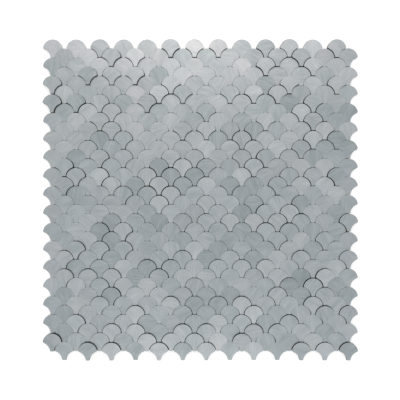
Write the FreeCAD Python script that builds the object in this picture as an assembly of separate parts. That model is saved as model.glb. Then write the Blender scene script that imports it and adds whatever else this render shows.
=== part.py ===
"""Mosaic sheet of brushed metal fish scale tiles on one self-adhesive backing film.

Millimetres. The sheet lies flat: +Z is the brushed face, +Y is the way the round heads point,
and the origin is at the middle of the film's underside.
"""

import FreeCAD
import Part

import math
import os

from FreeCAD import Vector

# Driving dimensions of one scale
SCALE_WIDTH = 18.4  # across the round head
SCALE_HEIGHT = 17.18  # from the top of the head to the end of the tail
NECK_WIDTH = 3.6  # narrowest width of the tail, between two heads of the row below
THIN_THICKNESS = 2.0  # of most scales
LEAST_RAISED_THICKNESS = 3.3  # of the scales that stand proud of them
MOST_RAISED_THICKNESS = 4.6

# Driving dimensions of the sheet, which holds as many whole scales as fit its nominal size
SHEET_WIDTH = 300.0
SHEET_HEIGHT = 306.0
JOINT = 0.25  # clear gap between neighbouring scales
FILM_THICKNESS = 0.5
FILM_INSET = 0.6  # the film stops this far inside the sheet's scalloped edge
LEVELS = 19  # shuffled over the sheet
THIN_LEVELS = 12  # of them, the rest are raised

# Sizes that follow from the driving dimensions
HEAD_RADIUS = SCALE_WIDTH / 2
NOTCH_RADIUS = HEAD_RADIUS + JOINT  # hollow that takes a neighbour's head
COLUMN_PITCH = SCALE_WIDTH + NECK_WIDTH + 2 * JOINT
ROW_PITCH = (SCALE_HEIGHT + JOINT) / 2
COLUMNS = math.floor((SHEET_WIDTH - SCALE_WIDTH) / COLUMN_PITCH + 0.5)  # odd rows shift half a pitch
ROWS = math.floor((SHEET_HEIGHT - SCALE_HEIGHT) / ROW_PITCH) + 1
LAST_COLUMN = COLUMNS - 1
LAST_ROW = ROWS - 1
TOP_ROW_HEIGHT = (LAST_ROW * ROW_PITCH + SCALE_HEIGHT) / 2 - HEAD_RADIUS  # of the head centres


def head_centre(row, column):
    """Centre of a scale's round head. Odd rows stand half a pitch to the right of even ones."""
    shift = COLUMN_PITCH / 4 if row % 2 else -COLUMN_PITCH / 4
    x = (column - LAST_COLUMN / 2) * COLUMN_PITCH + shift
    y = TOP_ROW_HEIGHT - row * ROW_PITCH
    return Vector(x, y, 0)


# An outline runs clockwise along heads (bulging arcs), notches (hollow arcs) and tail ends (flats).
def head(centre):
    return {"kind": "head", "centre": centre, "radius": HEAD_RADIUS}


def notch(centre):
    """Hollow arc around the place of a head that would nest there."""
    return {"kind": "notch", "centre": centre, "radius": NOTCH_RADIUS}


def tail(centre):
    """Flat end of the tail of the scale whose head is at centre."""
    end = centre + Vector(0, HEAD_RADIUS - SCALE_HEIGHT, 0)
    return {"kind": "tail", "centre": end}


def inset_by(element, inset):
    """The same outline element, moved into the material by inset."""
    moved = dict(element)
    if element["kind"] == "head":
        moved["radius"] = element["radius"] - inset
    elif element["kind"] == "notch":
        moved["radius"] = element["radius"] + inset
    else:
        moved["centre"] = element["centre"] + Vector(0, inset, 0)
    return moved


def upper_crossing(first, second):
    """The higher of the two points where two circles cross."""
    between = second["centre"] - first["centre"]
    distance = between.Length
    along = (distance**2 + first["radius"] ** 2 - second["radius"] ** 2) / (2 * distance)
    aside = math.sqrt(first["radius"] ** 2 - along**2)
    direction = between / distance
    foot = first["centre"] + direction * along
    upward = Vector(-direction.y, direction.x, 0)
    if upward.y < 0:
        upward = -upward
    return foot + upward * aside


def tail_corner(flat, circle):
    """Where a notch's circle meets the flat of a tail, on the side of the tail's middle."""
    rise = flat["centre"].y - circle["centre"].y
    reach = math.sqrt(max(circle["radius"] ** 2 - rise**2, 0))
    side = math.copysign(1, flat["centre"].x - circle["centre"].x)
    return Vector(circle["centre"].x + side * reach, flat["centre"].y, 0)


def corner(first, second):
    """The point where one outline element gives way to the next."""
    if first["kind"] == "tail":
        return tail_corner(first, second)
    if second["kind"] == "tail":
        return tail_corner(second, first)
    return upper_crossing(first, second)


def edge(element, start, end):
    """The edge along an element: clockwise round a head, anticlockwise round a notch."""
    if element["kind"] == "tail":
        return Part.LineSegment(start, end).toShape()
    centre = element["centre"]
    turn = -1 if element["kind"] == "head" else 1
    start_angle = math.atan2(start.y - centre.y, start.x - centre.x)
    end_angle = math.atan2(end.y - centre.y, end.x - centre.x)
    sweep = (turn * (end_angle - start_angle)) % (2 * math.pi)
    middle_angle = start_angle + turn * sweep / 2
    middle = centre + Vector(math.cos(middle_angle), math.sin(middle_angle), 0) * element["radius"]
    return Part.Arc(start, middle, end).toShape()


def plate(outline, inset, bottom, thickness):
    """A flat solid with the given outline, from bottom upwards."""
    elements = [inset_by(element, inset) for element in outline]
    following = elements[1:] + elements[:1]
    corners = [corner(first, second) for first, second in zip(elements, following)]
    starts = corners[-1:] + corners[:-1]
    edges = [edge(*each) for each in zip(elements, starts, corners)]
    face = Part.Face(Part.Wire(edges))
    face.translate(Vector(0, 0, bottom))
    return face.extrude(Vector(0, 0, thickness))


def scale_thickness(row, column):
    """Thickness of a tile: shuffled, so that raised tiles of several heights stand among the thin ones."""
    level = (row**2 + 2 * row * column + 3 * column**2) % LEVELS
    if level < THIN_LEVELS:
        return THIN_THICKNESS
    rise = (level - THIN_LEVELS) / (LEVELS - 1 - THIN_LEVELS)
    return LEAST_RAISED_THICKNESS + (MOST_RAISED_THICKNESS - LEAST_RAISED_THICKNESS) * rise


def scale(thickness):
    """One tile with its head at the origin: two hollow flanks run down to the tail."""
    middle = Vector(0, 0, 0)
    right_below = Vector(COLUMN_PITCH / 2, -ROW_PITCH, 0)
    left_below = Vector(-COLUMN_PITCH / 2, -ROW_PITCH, 0)
    outline = [head(middle), notch(right_below), tail(middle), notch(left_below)]
    return plate(outline, 0, FILM_THICKNESS, thickness)


def scale_row(row):
    """The separate tiles of one row."""
    tiles = []
    for column in range(COLUMNS):
        tile = scale(scale_thickness(row, column))
        tile.translate(head_centre(row, column))
        tiles.append(tile)
    return Part.Compound(tiles)


def sheet_outline():
    """The sheet's scalloped edge, clockwise from the top left head."""
    outline = []
    for column in range(COLUMNS):
        outline += [head(head_centre(0, column)), head(head_centre(1, column))]

    # Down the right side, where the odd rows stand out
    for row in range(1, ROWS, 2):
        if row > 1:
            outline.append(head(head_centre(row, LAST_COLUMN)))
        outline.append(notch(head_centre(row + 1, COLUMNS)))

    # Along the tails of the last row, right to left, with the next row's heads between them
    even_count = ROWS % 2 == 0
    if not even_count:
        outline += [tail(head_centre(LAST_ROW - 1, LAST_COLUMN)), notch(head_centre(ROWS, LAST_COLUMN))]
    for column in reversed(range(COLUMNS)):
        outline.append(tail(head_centre(LAST_ROW, column)))
        if even_count:
            outline.append(notch(head_centre(ROWS, column)))
        elif column > 0:
            outline.append(notch(head_centre(ROWS, column - 1)))
    if even_count:
        outline.append(tail(head_centre(LAST_ROW - 1, 0)))

    # Up the left side, where the even rows stand out
    for row in reversed(range(0, ROWS, 2)):
        outline.append(notch(head_centre(row + 1, -1)))
        if row > 0:
            outline.append(head(head_centre(row, 0)))
    return outline


def backing_film():
    """The self-adhesive film that carries every tile."""
    return plate(sheet_outline(), FILM_INSET, 0, FILM_THICKNESS)


def main():
    os.makedirs("parts", exist_ok=True)
    rows = [scale_row(row) for row in range(ROWS)]
    for row, tiles in enumerate(rows):
        tiles.exportStep(f"parts/scale_row_{row + 1:02d}.step")
    film = backing_film()
    film.exportStep("parts/backing_film.step")
    print(f"{ROWS} rows of {COLUMNS} scales, {sum(tiles.Volume for tiles in rows):.0f} mm3")
    print(f"film of {film.Volume:.0f} mm3")


main()
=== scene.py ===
"""Fish scale mosaic sheet: brushed metal scales of uneven height on a black film, in a white studio."""

import math
import random

import bmesh
import bpy
from bpy.props import FloatProperty, FloatVectorProperty, IntProperty, PointerProperty
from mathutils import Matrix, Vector


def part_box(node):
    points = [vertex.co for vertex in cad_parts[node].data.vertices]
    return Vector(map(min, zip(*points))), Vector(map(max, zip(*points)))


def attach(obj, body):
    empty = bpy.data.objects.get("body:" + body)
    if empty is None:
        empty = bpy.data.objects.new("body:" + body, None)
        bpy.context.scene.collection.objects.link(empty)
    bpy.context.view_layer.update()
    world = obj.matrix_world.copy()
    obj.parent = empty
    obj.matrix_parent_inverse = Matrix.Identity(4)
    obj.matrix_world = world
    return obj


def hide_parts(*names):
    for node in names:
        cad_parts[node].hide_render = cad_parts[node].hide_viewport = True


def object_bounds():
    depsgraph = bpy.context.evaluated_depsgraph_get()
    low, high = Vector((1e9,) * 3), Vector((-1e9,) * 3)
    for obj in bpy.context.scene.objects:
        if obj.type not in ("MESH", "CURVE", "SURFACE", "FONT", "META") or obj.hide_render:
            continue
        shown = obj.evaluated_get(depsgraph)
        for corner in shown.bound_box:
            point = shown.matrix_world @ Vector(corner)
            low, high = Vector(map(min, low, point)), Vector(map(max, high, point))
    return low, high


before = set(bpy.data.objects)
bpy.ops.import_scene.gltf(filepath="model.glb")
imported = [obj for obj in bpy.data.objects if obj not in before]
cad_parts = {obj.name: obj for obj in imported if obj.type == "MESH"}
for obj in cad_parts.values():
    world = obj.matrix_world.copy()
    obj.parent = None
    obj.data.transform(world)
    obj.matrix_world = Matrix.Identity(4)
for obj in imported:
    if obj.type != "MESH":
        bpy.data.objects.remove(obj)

bl_info = {
    "name": "Fish scale mosaic sheet",
    "version": (1, 0, 0),
    "blender": (4, 5, 0),
    "location": "View3D > Sidebar > Mosaic",
    "description": "Lays brushed metal fish scales on their backing film and lights them in a white studio",
    "category": "Add Mesh",
}

# Sizes of the sheet, read from the parts in model.glb, in metres
CAD_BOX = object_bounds()
FILM_NODE = "backing_film"
ROW_NODES = sorted(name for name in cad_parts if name.startswith("scale_row_"))
ROWS = len(ROW_NODES)
FIRST_LOW, FIRST_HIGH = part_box(ROW_NODES[0])
SECOND_LOW, SECOND_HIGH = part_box(ROW_NODES[1])
ROW_WIDTH = FIRST_HIGH.x - FIRST_LOW.x
COLUMN_PITCH = 2 * (SECOND_LOW.x - FIRST_LOW.x)
ROW_PITCH = FIRST_HIGH.y - SECOND_HIGH.y
COLUMNS = math.floor(ROW_WIDTH / COLUMN_PITCH) + 1
HEAD_RADIUS = (ROW_WIDTH - (COLUMNS - 1) * COLUMN_PITCH) / 2
SCALE_HEIGHT = FIRST_HIGH.y - FIRST_LOW.y
JOINT = 2 * ROW_PITCH - SCALE_HEIGHT
SEAT = FIRST_LOW.z  # upper side of the film, which every scale stands on
HIGHEST_FACE = CAD_BOX[1].z

# Outline of a scale about the centre of its head
NOTCH_RADIUS = HEAD_RADIUS + JOINT
RIGHT_NEST = Vector((COLUMN_PITCH / 2, -ROW_PITCH, 0))  # head that nests under the right flank
TAIL_END = HEAD_RADIUS - SCALE_HEIGHT
HEAD_STEPS = 16
FLANK_STEPS = 7
SHOULDER_STEPS = 2
SHARP_ANGLE = math.radians(30)
SIDE_SLOPE = 0.1  # a face whose normal rises or falls less than this is a side
FACE_SLOT = 0  # material slots of a row of scales
SIDE_SLOT = 1

# Laying of the scales
THIN_GROWTH = 0.3 * JOINT  # thin scales are cut a little full, and raised ones a little small
RAISED_GROWTH = -0.6 * JOINT
LEAST_JOINT = JOINT / 60  # left between scales that touch
EDGE_CLEARANCE = 0.00005  # the outer scales stay this far inside the sheet's own edge
EASING_ROUNDS = 80

# Brushed faces: each scale has its own shade, tint and brushing
SHADES = (0.23, 0.77)  # from dark to light metal, the middle most often
TINTS = (0.16, 0.84)  # from cool to warm, the middle most often
COOL_CAST = (0.981, 1.009, 1.009)  # what the metal's colour is multiplied by
WARM_CAST = (1.019, 0.991, 0.991)
UV_PER_METRE = 1000  # the brushing is mapped in millimetres
UV_SPREAD = 400  # side of the square of the pattern that the scales' brushing is taken from
STREAK = 0.22  # most that the lines change a scale's shade
SWEEP = 0.15  # most that the sweeps change it
FACE_ROUGHNESS = (0.28, 0.4)
FACE_BUMP = (0.2, 0.00002)  # strength, and depth in metres

# Kinds of brush mark: a squeeze along X, which draws them out, and their density across, to a millimetre
BRUSH_MARKS = {"Lines": (0.03, 1.5), "Hairs": (0.02, 6.0), "Sweeps": (0.4, 0.15)}

# Black sides and film
MATT_SPECULAR = 0.15
SIDE_WEAR = (0.6, 1.4)  # times the colour of a side, fresh and worn
SIDE_ROUGHNESS = (0.55, 0.75)
SIDE_BUMP = (0.4, 0.00005)
MOTTLE_DENSITY = 900.0  # a metre
FILM_MOTTLE = (0.7, 1.3)  # times the colour of the film, dark and light
FILM_ROUGHNESS = (0.55, 0.7)
FILM_BUMP = (0.3, 0.00005)

# Noise behind the finishes of the sheet
NOISE_DETAIL = 3.0
NOISE_ROUGHNESS = 0.6
NOISE_RANGE = (0.25, 0.75)  # most of its values lie between these

# Studio, with lengths in metres
WHITE = (1, 1, 1)
FLOOR_REACH = 4  # from its middle to each side
FLOOR_DROP = 0.0002  # below the film, so that the two don't coincide
FLOOR_LIFT = 0.55  # what the floor's own light adds where it is seen
KEY_PLACE = (-0.015, 0.52, 0.6)
FILL_PLACE = (-0.015, -0.52, 0.6)
SOFTBOX_SIZE = (0.4, 0.5)

# View of the photograph, in its own pixels, and the camera's lens and sensor, in millimetres
PHOTO_SIDE = 400
PHOTO_SHEET_WIDTH = 315.6
PHOTO_SHEET_RIGHT = 0.4  # from the middle of the photograph to the sheet's
PHOTO_SHEET_UP = 0.3
LENS = 60
SENSOR = 36


class ScaleSettings(bpy.types.PropertyGroup):
    """Shape, laying and finish of the scales"""

    edge_round: FloatProperty(
        name="Edge rounding",
        description="Width of the broken edge round the face of a scale",
        default=0.00001,
        min=0,
        subtype="DISTANCE",
        unit="LENGTH",
    )
    shoulder_round: FloatProperty(
        name="Shoulder rounding",
        description="How much of the tip of each shoulder of a scale is taken off",
        default=0.0011,
        min=0,
        subtype="DISTANCE",
        unit="LENGTH",
    )
    wander: FloatProperty(
        name="Wander",
        description="How far the scales stray from an even pattern",
        default=0.00014,
        min=0,
        subtype="DISTANCE",
        unit="LENGTH",
    )
    seed: IntProperty(name="Seed", description="Picks another laying of the scales", default=4, min=0)
    dark: FloatVectorProperty(
        name="Dark scale",
        description="Metal of the darkest scales",
        default=(0.207, 0.25, 0.263),
        min=0,
        max=1,
        subtype="COLOR",
    )
    light: FloatVectorProperty(
        name="Light scale",
        description="Metal of the lightest scales",
        default=(0.49, 0.51, 0.532),
        min=0,
        max=1,
        subtype="COLOR",
    )
    side: FloatVectorProperty(
        name="Side",
        description="Colour of the blackened sides of a scale",
        default=(0.012, 0.012, 0.013),
        min=0,
        max=1,
        subtype="COLOR",
    )


class FilmSettings(bpy.types.PropertyGroup):
    """Finish of the backing film"""

    colour: FloatVectorProperty(
        name="Film",
        description="Colour of the backing film",
        default=(0.012, 0.012, 0.013),
        min=0,
        max=1,
        subtype="COLOR",
    )


class StageSettings(bpy.types.PropertyGroup):
    """Light and floor of the studio"""

    floor: FloatVectorProperty(
        name="Floor",
        description="Colour of the studio floor",
        default=(0.7, 0.7, 0.7),
        min=0,
        max=1,
        subtype="COLOR",
    )
    world: FloatProperty(name="Room light", description="Strength of the even light", default=0.8, min=0)
    key: FloatProperty(
        name="Key light",
        description="Power of the light above the heads",
        default=1.42,
        min=0,
        unit="POWER",
    )
    key_colour: FloatVectorProperty(
        name="Key colour",
        description="Colour of the light above the heads",
        default=(1, 0.873, 0.801),
        min=0,
        max=1,
        subtype="COLOR",
    )
    fill: FloatProperty(
        name="Fill light",
        description="Power of the light above the tails",
        default=0.42,
        min=0,
        unit="POWER",
    )
    fill_colour: FloatVectorProperty(
        name="Fill colour",
        description="Colour of the light above the tails",
        default=(1, 0.975, 0.942),
        min=0,
        max=1,
        subtype="COLOR",
    )


def upper_crossing(reach, first_radius, second_radius):
    """Upper point where a circle about the origin crosses one about reach."""
    distance = reach.length
    along = (distance**2 + first_radius**2 - second_radius**2) / (2 * distance)
    aside = math.sqrt(first_radius**2 - along**2)
    direction = reach / distance
    upward = Vector((-direction.y, direction.x, 0))
    if upward.y < 0:
        upward.negate()
    return direction * along + upward * aside


def flank_ends(growth):
    """Shoulder and tail corner on the right of a scale whose outline is moved out by growth."""
    notch_radius = NOTCH_RADIUS - growth
    tail_end = TAIL_END - growth
    shoulder = upper_crossing(RIGHT_NEST, HEAD_RADIUS + growth, notch_radius)
    tail_reach = math.sqrt(notch_radius**2 - (tail_end - RIGHT_NEST.y) ** 2)
    return shoulder, Vector((RIGHT_NEST.x - tail_reach, tail_end, 0))


def bearing(point):
    """Angle of a point about the origin."""
    return math.atan2(point.y, point.x)


def flank_bearings(growth):
    """Angles of the right flank's two ends about the head that nests under it."""
    return [bearing(end - RIGHT_NEST) for end in flank_ends(growth)]


def head_centre(row, column):
    """Place of a scale's head in an even pattern, on the film."""
    low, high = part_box(ROW_NODES[row])
    return Vector((low.x + HEAD_RADIUS + column * COLUMN_PITCH, high.y - HEAD_RADIUS, SEAT))


def face_levels(row):
    """Heights of the faces of a row's scales, read from its node."""
    start = head_centre(row, 0).x
    levels = [SEAT] * COLUMNS
    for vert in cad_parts[ROW_NODES[row]].data.vertices:
        column = round((vert.co.x - start) / COLUMN_PITCH)
        levels[column] = max(levels[column], vert.co.z)
    return levels


FACE_LEVELS = [face_levels(row) for row in range(ROWS)]
MEAN_FACE = sum(sum(levels) for levels in FACE_LEVELS) / (ROWS * COLUMNS)


def cut_growth(row, column):
    """How far the outline of a scale is moved out, by its thickness."""
    return RAISED_GROWTH if FACE_LEVELS[row][column] > MEAN_FACE else THIN_GROWTH


def has_scale(row, column):
    """Whether the sheet goes on as far as that row and column."""
    return row < ROWS and 0 <= column < COLUMNS


def nested_under(row, column):
    """Scales that nest under a scale, with the middle and half of the angle that each joint takes up."""
    right = column if row % 2 == 0 else column + 1
    start, end = flank_bearings(0)
    middle = (start + end) / 2
    half = (end - start) / 2
    joints = [
        ((row + 1, right), middle, half),
        ((row + 1, right - 1), math.pi - middle, half),
        ((row + 2, column), math.pi / 2, 0),
    ]
    return [(place, *angles) for place, *angles in joints if has_scale(*place)]


def ease_apart(upper, lower, joint, middle, half):
    """Changes the shifts of two scales, half each, until the scales just touch where they would overlap."""
    apart = upper - lower
    towards = (bearing(-apart) - middle + math.pi) % (2 * math.pi) - math.pi
    angle = middle + min(max(towards, -half), half)  # where the joint is narrowest
    normal = Vector((math.cos(angle), math.sin(angle)))
    overlap = LEAST_JOINT - joint - apart.dot(normal)
    if overlap > 0:
        upper += normal * overlap / 2
        lower -= normal * overlap / 2


def keep_on_sheet(shift, row, column):
    """Holds the outer scales inside the sheet's own edge."""
    clearance = EDGE_CLEARANCE + cut_growth(row, column)
    if row == 0:
        shift.y = min(shift.y, -clearance)
    if row == ROWS - 1:
        shift.y = max(shift.y, clearance)
    if column == 0 and row % 2 == 0:
        shift.x = max(shift.x, clearance)
    if column == COLUMNS - 1 and row % 2 == 1:
        shift.x = min(shift.x, -clearance)


def laid_by_hand(settings):
    """Shift of each scale from the even pattern: strewn, then eased off its neighbours."""
    rng = random.Random(settings.seed)
    wander = settings.wander
    places = [(row, column) for row in range(ROWS) for column in range(COLUMNS)]
    shifts = {place: Vector((rng.gauss(0, wander), rng.gauss(0, wander))) for place in places}
    for _ in range(EASING_ROUNDS):
        for place in places:
            for below, middle, half in nested_under(*place):
                joint = JOINT - cut_growth(*place) - cut_growth(*below)
                ease_apart(shifts[place], shifts[below], joint, middle, half)
            keep_on_sheet(shifts[place], *place)
    return shifts


def finished_mesh(bm, name):
    """The mesh that a bmesh makes."""
    mesh = bpy.data.meshes.new(name)
    bm.to_mesh(mesh)
    bm.free()
    return mesh


def add_object(name, data):
    """A new object in the scene."""
    made = bpy.data.objects.new(name, data)
    bpy.context.scene.collection.objects.link(made)
    return made


def spun(bm, vert, centre, angle, steps):
    """Draws an arc from a vertex and returns the vertex at its end."""
    made = bmesh.ops.spin(
        bm,
        geom=[vert],
        cent=centre,
        axis=(0, 0, 1),
        angle=angle,
        steps=steps,
        use_merge=False,
        use_duplicate=False,
    )
    return next(each for each in made["geom_last"] if isinstance(each, bmesh.types.BMVert))


def draw_outline(bm, growth):
    """Draws the outline of a scale, moved out by growth, and returns its two shoulders."""
    shoulder, _ = flank_ends(growth)
    flank_start, flank_end = flank_bearings(growth)
    head_sweep = math.pi - 2 * bearing(shoulder)
    flank_sweep = flank_end - flank_start
    left_nest = Vector((-RIGHT_NEST.x, RIGHT_NEST.y, 0))
    right_shoulder = bm.verts.new(shoulder)
    left_shoulder = spun(bm, right_shoulder, Vector(), head_sweep, HEAD_STEPS)
    left_tail = spun(bm, left_shoulder, left_nest, -flank_sweep, FLANK_STEPS)
    right_tail = spun(bm, right_shoulder, RIGHT_NEST, flank_sweep, FLANK_STEPS)
    bm.edges.new((left_tail, right_tail))
    return [right_shoulder, left_shoulder]


def scale_mesh(settings, growth):
    """The thickest scale, moved out by growth, with its head's centre and its underside at the origin."""
    bm = bmesh.new()
    shoulders = draw_outline(bm, growth)
    bmesh.ops.contextual_create(bm, geom=bm.edges[:])
    bmesh.ops.bevel(
        bm,
        geom=shoulders,
        offset=settings.shoulder_round,
        offset_type="OFFSET",
        segments=SHOULDER_STEPS,
        profile=0.5,
        affect="VERTICES",
        material=-1,
    )
    # The first face stays as the underside
    made = bmesh.ops.extrude_face_region(bm, geom=bm.faces[:], use_keep_orig=True)
    raised = [each for each in made["geom"] if isinstance(each, bmesh.types.BMVert)]
    bmesh.ops.translate(bm, verts=raised, vec=(0, 0, HIGHEST_FACE - SEAT))
    rim = [edge for edge in bm.edges if all(vert in raised for vert in edge.verts)]
    bmesh.ops.bevel(
        bm,
        geom=rim,
        offset=settings.edge_round,
        offset_type="OFFSET",
        segments=1,
        profile=0.5,
        affect="EDGES",
        clamp_overlap=True,
        material=-1,
    )
    bmesh.ops.recalc_face_normals(bm, faces=bm.faces[:])
    for face in bm.faces:
        face.material_index = FACE_SLOT if face.normal.z > SIDE_SLOPE else SIDE_SLOT
        face.smooth = abs(face.normal.z) < SIDE_SLOPE
    for edge in bm.edges:
        edge.smooth = edge.calc_face_angle() < SHARP_ANGLE
    return finished_mesh(bm, "scale")


def add_scale(bm, scale, face_level, place):
    """Adds one scale of a row, its face at the given level, and returns its vertices and faces."""
    first_vert = len(bm.verts)
    first_face = len(bm.faces)
    bm.from_mesh(scale)
    bm.verts.ensure_lookup_table()
    bm.faces.ensure_lookup_table()
    verts = bm.verts[first_vert:]
    rim = [vert for vert in verts if vert.co.z > 0]
    bmesh.ops.translate(bm, verts=rim, vec=(0, 0, face_level - HIGHEST_FACE))
    bmesh.ops.translate(bm, verts=verts, vec=place)
    return verts, bm.faces[first_face:]


def brush(bm, verts, faces, rng):
    """Gives one scale its own brushing, in the UV map, and its own shade and tint, in attributes."""
    angle = rng.uniform(0, math.pi)
    along = Vector((math.cos(angle), math.sin(angle)))
    across = along.orthogonal()
    start = Vector((rng.uniform(0, UV_SPREAD), rng.uniform(0, UV_SPREAD)))
    brushing = bm.loops.layers.uv["Brushing"]
    for face in faces:
        for loop in face.loops:
            flat = loop.vert.co.to_2d() * UV_PER_METRE
            loop[brushing].uv = start + Vector((flat.dot(along), flat.dot(across)))
    looks = {"shade": rng.triangular(*SHADES), "tint": rng.triangular(*TINTS)}
    for name, value in looks.items():
        layer = bm.verts.layers.float[name]
        for vert in verts:
            vert[layer] = value


def scale_row(row, cuts, shifts, rng, materials):
    """The scales of one row, as one piece that stands for its node."""
    bm = bmesh.new()
    bm.loops.layers.uv.new("Brushing")
    bm.verts.layers.float.new("shade")
    bm.verts.layers.float.new("tint")
    for column in range(COLUMNS):
        scale = cuts[cut_growth(row, column)]
        place = head_centre(row, column) + shifts[row, column].to_3d()
        verts, faces = add_scale(bm, scale, FACE_LEVELS[row][column], place)
        brush(bm, verts, faces, rng)
    name = f"scales_{row + 1:02d}"
    mesh = finished_mesh(bm, name)
    for material in materials:
        mesh.materials.append(material)
    piece = add_object(name, mesh)
    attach(piece, "root")
    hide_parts(ROW_NODES[row])


def new_material(name):
    """A material with its node tree and its Principled shader."""
    material = bpy.data.materials.new(name)
    material.use_nodes = True
    return material, material.node_tree, material.node_tree.nodes["Principled BSDF"]


def set_input(tree, socket, value):
    """Links an input to another socket, or sets its value. A colour is opaque."""
    if isinstance(value, bpy.types.NodeSocket):
        tree.links.new(value, socket)
    elif socket.type == "RGBA":
        socket.default_value = (*value, 1)
    else:
        socket.default_value = value


def set_inputs(tree, node, inputs):
    """Links or sets inputs of a node, by name or number."""
    for name, value in inputs.items():
        set_input(tree, node.inputs[name], value)


def add_node(tree, kind, inputs=None, **values):
    """A new node of a tree, with the given properties and inputs."""
    node = tree.nodes.new(kind)
    for name, value in values.items():
        setattr(node, name, value)
    set_inputs(tree, node, inputs or {})
    return node


def noise(tree, vector, density):
    """Noise of the given density, to a unit of the vector."""
    inputs = {"Vector": vector, "Scale": density, "Detail": NOISE_DETAIL, "Roughness": NOISE_ROUGHNESS}
    return add_node(tree, "ShaderNodeTexNoise", inputs).outputs["Fac"]


def ranged(tree, value, low, high):
    """A noise value, brought to another range."""
    least, most = NOISE_RANGE
    inputs = {"Value": value, "From Min": least, "From Max": most, "To Min": low, "To Max": high}
    return add_node(tree, "ShaderNodeMapRange", inputs).outputs["Result"]


def combined(tree, operation, first, second):
    """Two values put together by a Math node."""
    return add_node(tree, "ShaderNodeMath", {0: first, 1: second}, operation=operation).outputs["Value"]


def mixed(tree, factor, first, second, blend="MIX"):
    """Two colours mixed by a factor."""
    node = add_node(tree, "ShaderNodeMix", data_type="RGBA", blend_type=blend)
    sockets = {socket.name: socket for socket in node.inputs if socket.enabled}
    set_input(tree, sockets["Factor"], factor)
    set_input(tree, sockets["A"], first)
    set_input(tree, sockets["B"], second)
    return next(socket for socket in node.outputs if socket.enabled)


def bumped(tree, height, strength, depth):
    """A normal raised by a height of the given depth, in metres."""
    inputs = {"Height": height, "Strength": strength, "Distance": depth}
    return add_node(tree, "ShaderNodeBump", inputs).outputs["Normal"]


def times_each(colour, factors):
    """The colour multiplied by each of the factors."""
    return [[channel * factor for channel in colour] for factor in factors]


def brush_lines():
    """Node group: brushed lines that run along X of its vector, in millimetres."""
    group = bpy.data.node_groups.new("Brush lines", "ShaderNodeTree")
    group.interface.new_socket("Vector", in_out="INPUT", socket_type="NodeSocketVector")
    entry = group.nodes.new("NodeGroupInput")
    leave = group.nodes.new("NodeGroupOutput")
    for output, (squeeze, density) in BRUSH_MARKS.items():
        group.interface.new_socket(output, in_out="OUTPUT", socket_type="NodeSocketFloat")
        mapping = add_node(
            group,
            "ShaderNodeMapping",
            {"Vector": entry.outputs["Vector"], "Scale": (squeeze, 1, 1)},
        )
        set_input(group, leave.inputs[output], noise(group, mapping.outputs["Vector"], density))
    return group


def brushed_face(settings, lines_group):
    """Satin metal, each scale brushed its own way and of its own shade and tint."""
    material, tree, shader = new_material("brushed_face")
    brushing = add_node(tree, "ShaderNodeUVMap", uv_map="Brushing")
    marks = add_node(tree, "ShaderNodeGroup", {"Vector": brushing.outputs["UV"]}, node_tree=lines_group)
    shade = add_node(tree, "ShaderNodeAttribute", attribute_name="shade")
    tint = add_node(tree, "ShaderNodeAttribute", attribute_name="tint")

    streak = ranged(tree, marks.outputs["Lines"], -STREAK, STREAK)
    sweep = ranged(tree, marks.outputs["Sweeps"], -SWEEP, SWEEP)
    tone = combined(tree, "ADD", shade.outputs["Fac"], combined(tree, "ADD", streak, sweep))
    colour = mixed(tree, tone, settings.dark, settings.light)
    cast = mixed(tree, tint.outputs["Fac"], COOL_CAST, WARM_CAST)
    height = combined(tree, "ADD", marks.outputs["Lines"], marks.outputs["Hairs"])

    finish = {
        "Metallic": 1,
        "Base Color": mixed(tree, 1, colour, cast, "MULTIPLY"),
        "Roughness": ranged(tree, marks.outputs["Hairs"], *FACE_ROUGHNESS),
        "Normal": bumped(tree, height, *FACE_BUMP),
    }
    set_inputs(tree, shader, finish)
    return material


def blackened_side(settings, lines_group):
    """Side of a scale: matt black, with the upright marks of the cutting tool."""
    material, tree, shader = new_material("blackened_side")
    place = add_node(tree, "ShaderNodeTexCoord")
    axes = add_node(tree, "ShaderNodeSeparateXYZ", {"Vector": place.outputs["Object"]})
    upright = add_node(
        tree,
        "ShaderNodeCombineXYZ",
        {"X": axes.outputs["Z"], "Y": axes.outputs["X"], "Z": axes.outputs["Y"]},
    )
    millimetres = add_node(
        tree,
        "ShaderNodeVectorMath",
        {"Vector": upright.outputs["Vector"], "Scale": UV_PER_METRE},
        operation="SCALE",
    )
    marks = add_node(
        tree,
        "ShaderNodeGroup",
        {"Vector": millimetres.outputs["Vector"]},
        node_tree=lines_group,
    )

    fresh, worn = times_each(settings.side, SIDE_WEAR)
    finish = {
        "Specular IOR Level": MATT_SPECULAR,
        "Base Color": mixed(tree, marks.outputs["Hairs"], fresh, worn),
        "Roughness": ranged(tree, marks.outputs["Lines"], *SIDE_ROUGHNESS),
        "Normal": bumped(tree, marks.outputs["Hairs"], *SIDE_BUMP),
    }
    set_inputs(tree, shader, finish)
    return material


def film_finish(settings):
    """Matt black film with a faint mottle."""
    material, tree, shader = new_material("black_film")
    place = add_node(tree, "ShaderNodeTexCoord")
    mottle = noise(tree, place.outputs["Object"], MOTTLE_DENSITY)
    dark, light = times_each(settings.colour, FILM_MOTTLE)
    finish = {
        "Specular IOR Level": MATT_SPECULAR,
        "Base Color": mixed(tree, mottle, dark, light),
        "Roughness": ranged(tree, mottle, *FILM_ROUGHNESS),
        "Normal": bumped(tree, mottle, *FILM_BUMP),
    }
    set_inputs(tree, shader, finish)
    return material


def seen_white(tree):
    """1 where the camera, a reflection or a see-through surface looks, which then shows white."""
    path = add_node(tree, "ShaderNodeLightPath")
    seen = path.outputs["Is Camera Ray"]
    for name in ("Is Glossy Ray", "Is Transmission Ray"):
        seen = combined(tree, "MAXIMUM", seen, path.outputs[name])
    return seen


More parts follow.
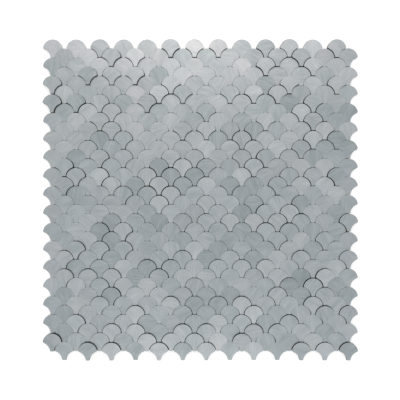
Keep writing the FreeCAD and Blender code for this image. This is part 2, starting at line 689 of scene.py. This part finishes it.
def floor_finish(settings):
    """White floor that lifts to pure white where it is seen, and still takes a shadow."""
    material, tree, shader = new_material("white_floor")
    finish = {
        "Base Color": settings.floor,
        "Roughness": 1,
        "Specular IOR Level": 0,
        "Emission Color": WHITE,
        "Emission Strength": combined(tree, "MULTIPLY", seen_white(tree), FLOOR_LIFT),
    }
    set_inputs(tree, shader, finish)
    return material


def add_floor(settings):
    """The white floor, just under the film."""
    bm = bmesh.new()
    bmesh.ops.create_grid(bm, x_segments=1, y_segments=1, size=FLOOR_REACH)
    bmesh.ops.translate(bm, verts=bm.verts[:], vec=(0, 0, -FLOOR_DROP))
    mesh = finished_mesh(bm, "floor")
    mesh.materials.append(floor_finish(settings))
    floor = add_object("floor", mesh)


def add_world(settings):
    """Even light from all round, which looks white."""
    world = bpy.data.worlds.new("studio")
    world.use_nodes = True
    tree = world.node_tree
    strength = add_node(
        tree,
        "ShaderNodeMapRange",
        {"Value": seen_white(tree), "To Min": settings.world, "To Max": 1},
    )
    background = {"Color": WHITE, "Strength": strength.outputs["Result"]}
    set_inputs(tree, tree.nodes["Background"], background)
    bpy.context.scene.world = world


def add_softbox(name, place, power, colour):
    """A wide soft light that faces the middle of the sheet."""
    lamp = bpy.data.lights.new(name, "AREA")
    lamp.color = colour
    lamp.shape = "RECTANGLE"
    lamp.size, lamp.size_y = SOFTBOX_SIZE
    lamp.energy = power
    softbox = add_object(name, lamp)
    softbox.location = place
    softbox.rotation_euler = (-Vector(place)).to_track_quat("-Z", "Y").to_euler()


def add_camera():
    """Straight above the face, framed as the photograph is."""
    camera = bpy.data.cameras.new("camera")
    camera.lens = LENS
    camera.sensor_width = SENSOR
    low, high = CAD_BOX
    pixel = (high.x - low.x) / PHOTO_SHEET_WIDTH
    distance = pixel * PHOTO_SIDE * LENS / SENSOR
    viewer = add_object("camera", camera)
    viewer.location = (-PHOTO_SHEET_RIGHT * pixel, -PHOTO_SHEET_UP * pixel, MEAN_FACE + distance)
    bpy.context.scene.camera = viewer


class MOSAIC_OT_scales(bpy.types.Operator):
    """Lay the rows of brushed metal scales"""

    bl_idname = "mosaic.scales"
    bl_label = "Lay scales"

    def execute(self, context):
        settings = context.scene.mosaic_scales
        cuts = {growth: scale_mesh(settings, growth) for growth in (THIN_GROWTH, RAISED_GROWTH)}
        shifts = laid_by_hand(settings)
        lines_group = brush_lines()
        materials = [brushed_face(settings, lines_group), blackened_side(settings, lines_group)]
        rng = random.Random(settings.seed + 1)
        for row in range(ROWS):
            scale_row(row, cuts, shifts, rng, materials)
        for scale in cuts.values():
            bpy.data.meshes.remove(scale)
        return {"FINISHED"}


class MOSAIC_OT_film(bpy.types.Operator):
    """Finish the backing film"""

    bl_idname = "mosaic.film"
    bl_label = "Finish film"

    def execute(self, context):
        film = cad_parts[FILM_NODE]
        film.data.materials.clear()
        film.data.materials.append(film_finish(context.scene.mosaic_film))
        return {"FINISHED"}


class MOSAIC_OT_stage(bpy.types.Operator):
    """Set up the floor, the lights and the camera"""

    bl_idname = "mosaic.stage"
    bl_label = "Set up studio"

    def execute(self, context):
        settings = context.scene.mosaic_stage
        context.scene.view_settings.view_transform = "Standard"
        add_floor(settings)
        add_world(settings)
        add_softbox("key", KEY_PLACE, settings.key, settings.key_colour)
        add_softbox("fill", FILL_PLACE, settings.fill, settings.fill_colour)
        add_camera()
        return {"FINISHED"}


class MOSAIC_PT_panel(bpy.types.Panel):
    """Steps of the mosaic sheet"""

    bl_idname = "MOSAIC_PT_panel"
    bl_label = "Mosaic sheet"
    bl_space_type = "VIEW_3D"
    bl_region_type = "UI"
    bl_category = "Mosaic"

    def draw(self, context):
        steps = (
            (MOSAIC_OT_scales, context.scene.mosaic_scales),
            (MOSAIC_OT_film, context.scene.mosaic_film),
            (MOSAIC_OT_stage, context.scene.mosaic_stage),
        )
        for operator, settings in steps:
            box = self.layout.box()
            for name in settings.__annotations__:
                box.prop(settings, name)
            box.operator(operator.bl_idname)


SETTINGS = {"mosaic_scales": ScaleSettings, "mosaic_film": FilmSettings, "mosaic_stage": StageSettings}
CLASSES = (*SETTINGS.values(), MOSAIC_OT_scales, MOSAIC_OT_film, MOSAIC_OT_stage, MOSAIC_PT_panel)


def register():
    """Makes the settings, the operators and the panel known to Blender."""
    for each in CLASSES:
        bpy.utils.register_class(each)
    for name, group in SETTINGS.items():
        setattr(bpy.types.Scene, name, PointerProperty(type=group))


def unregister():
    """Takes them out of Blender again."""
    for name in SETTINGS:
        delattr(bpy.types.Scene, name)
    for each in reversed(CLASSES):
        bpy.utils.unregister_class(each)


def main():
    """Makes the sheet and its studio."""
    register()
    bpy.ops.mosaic.scales()
    bpy.ops.mosaic.film()
    bpy.ops.mosaic.stage()


if __name__ == "__main__":
    main()
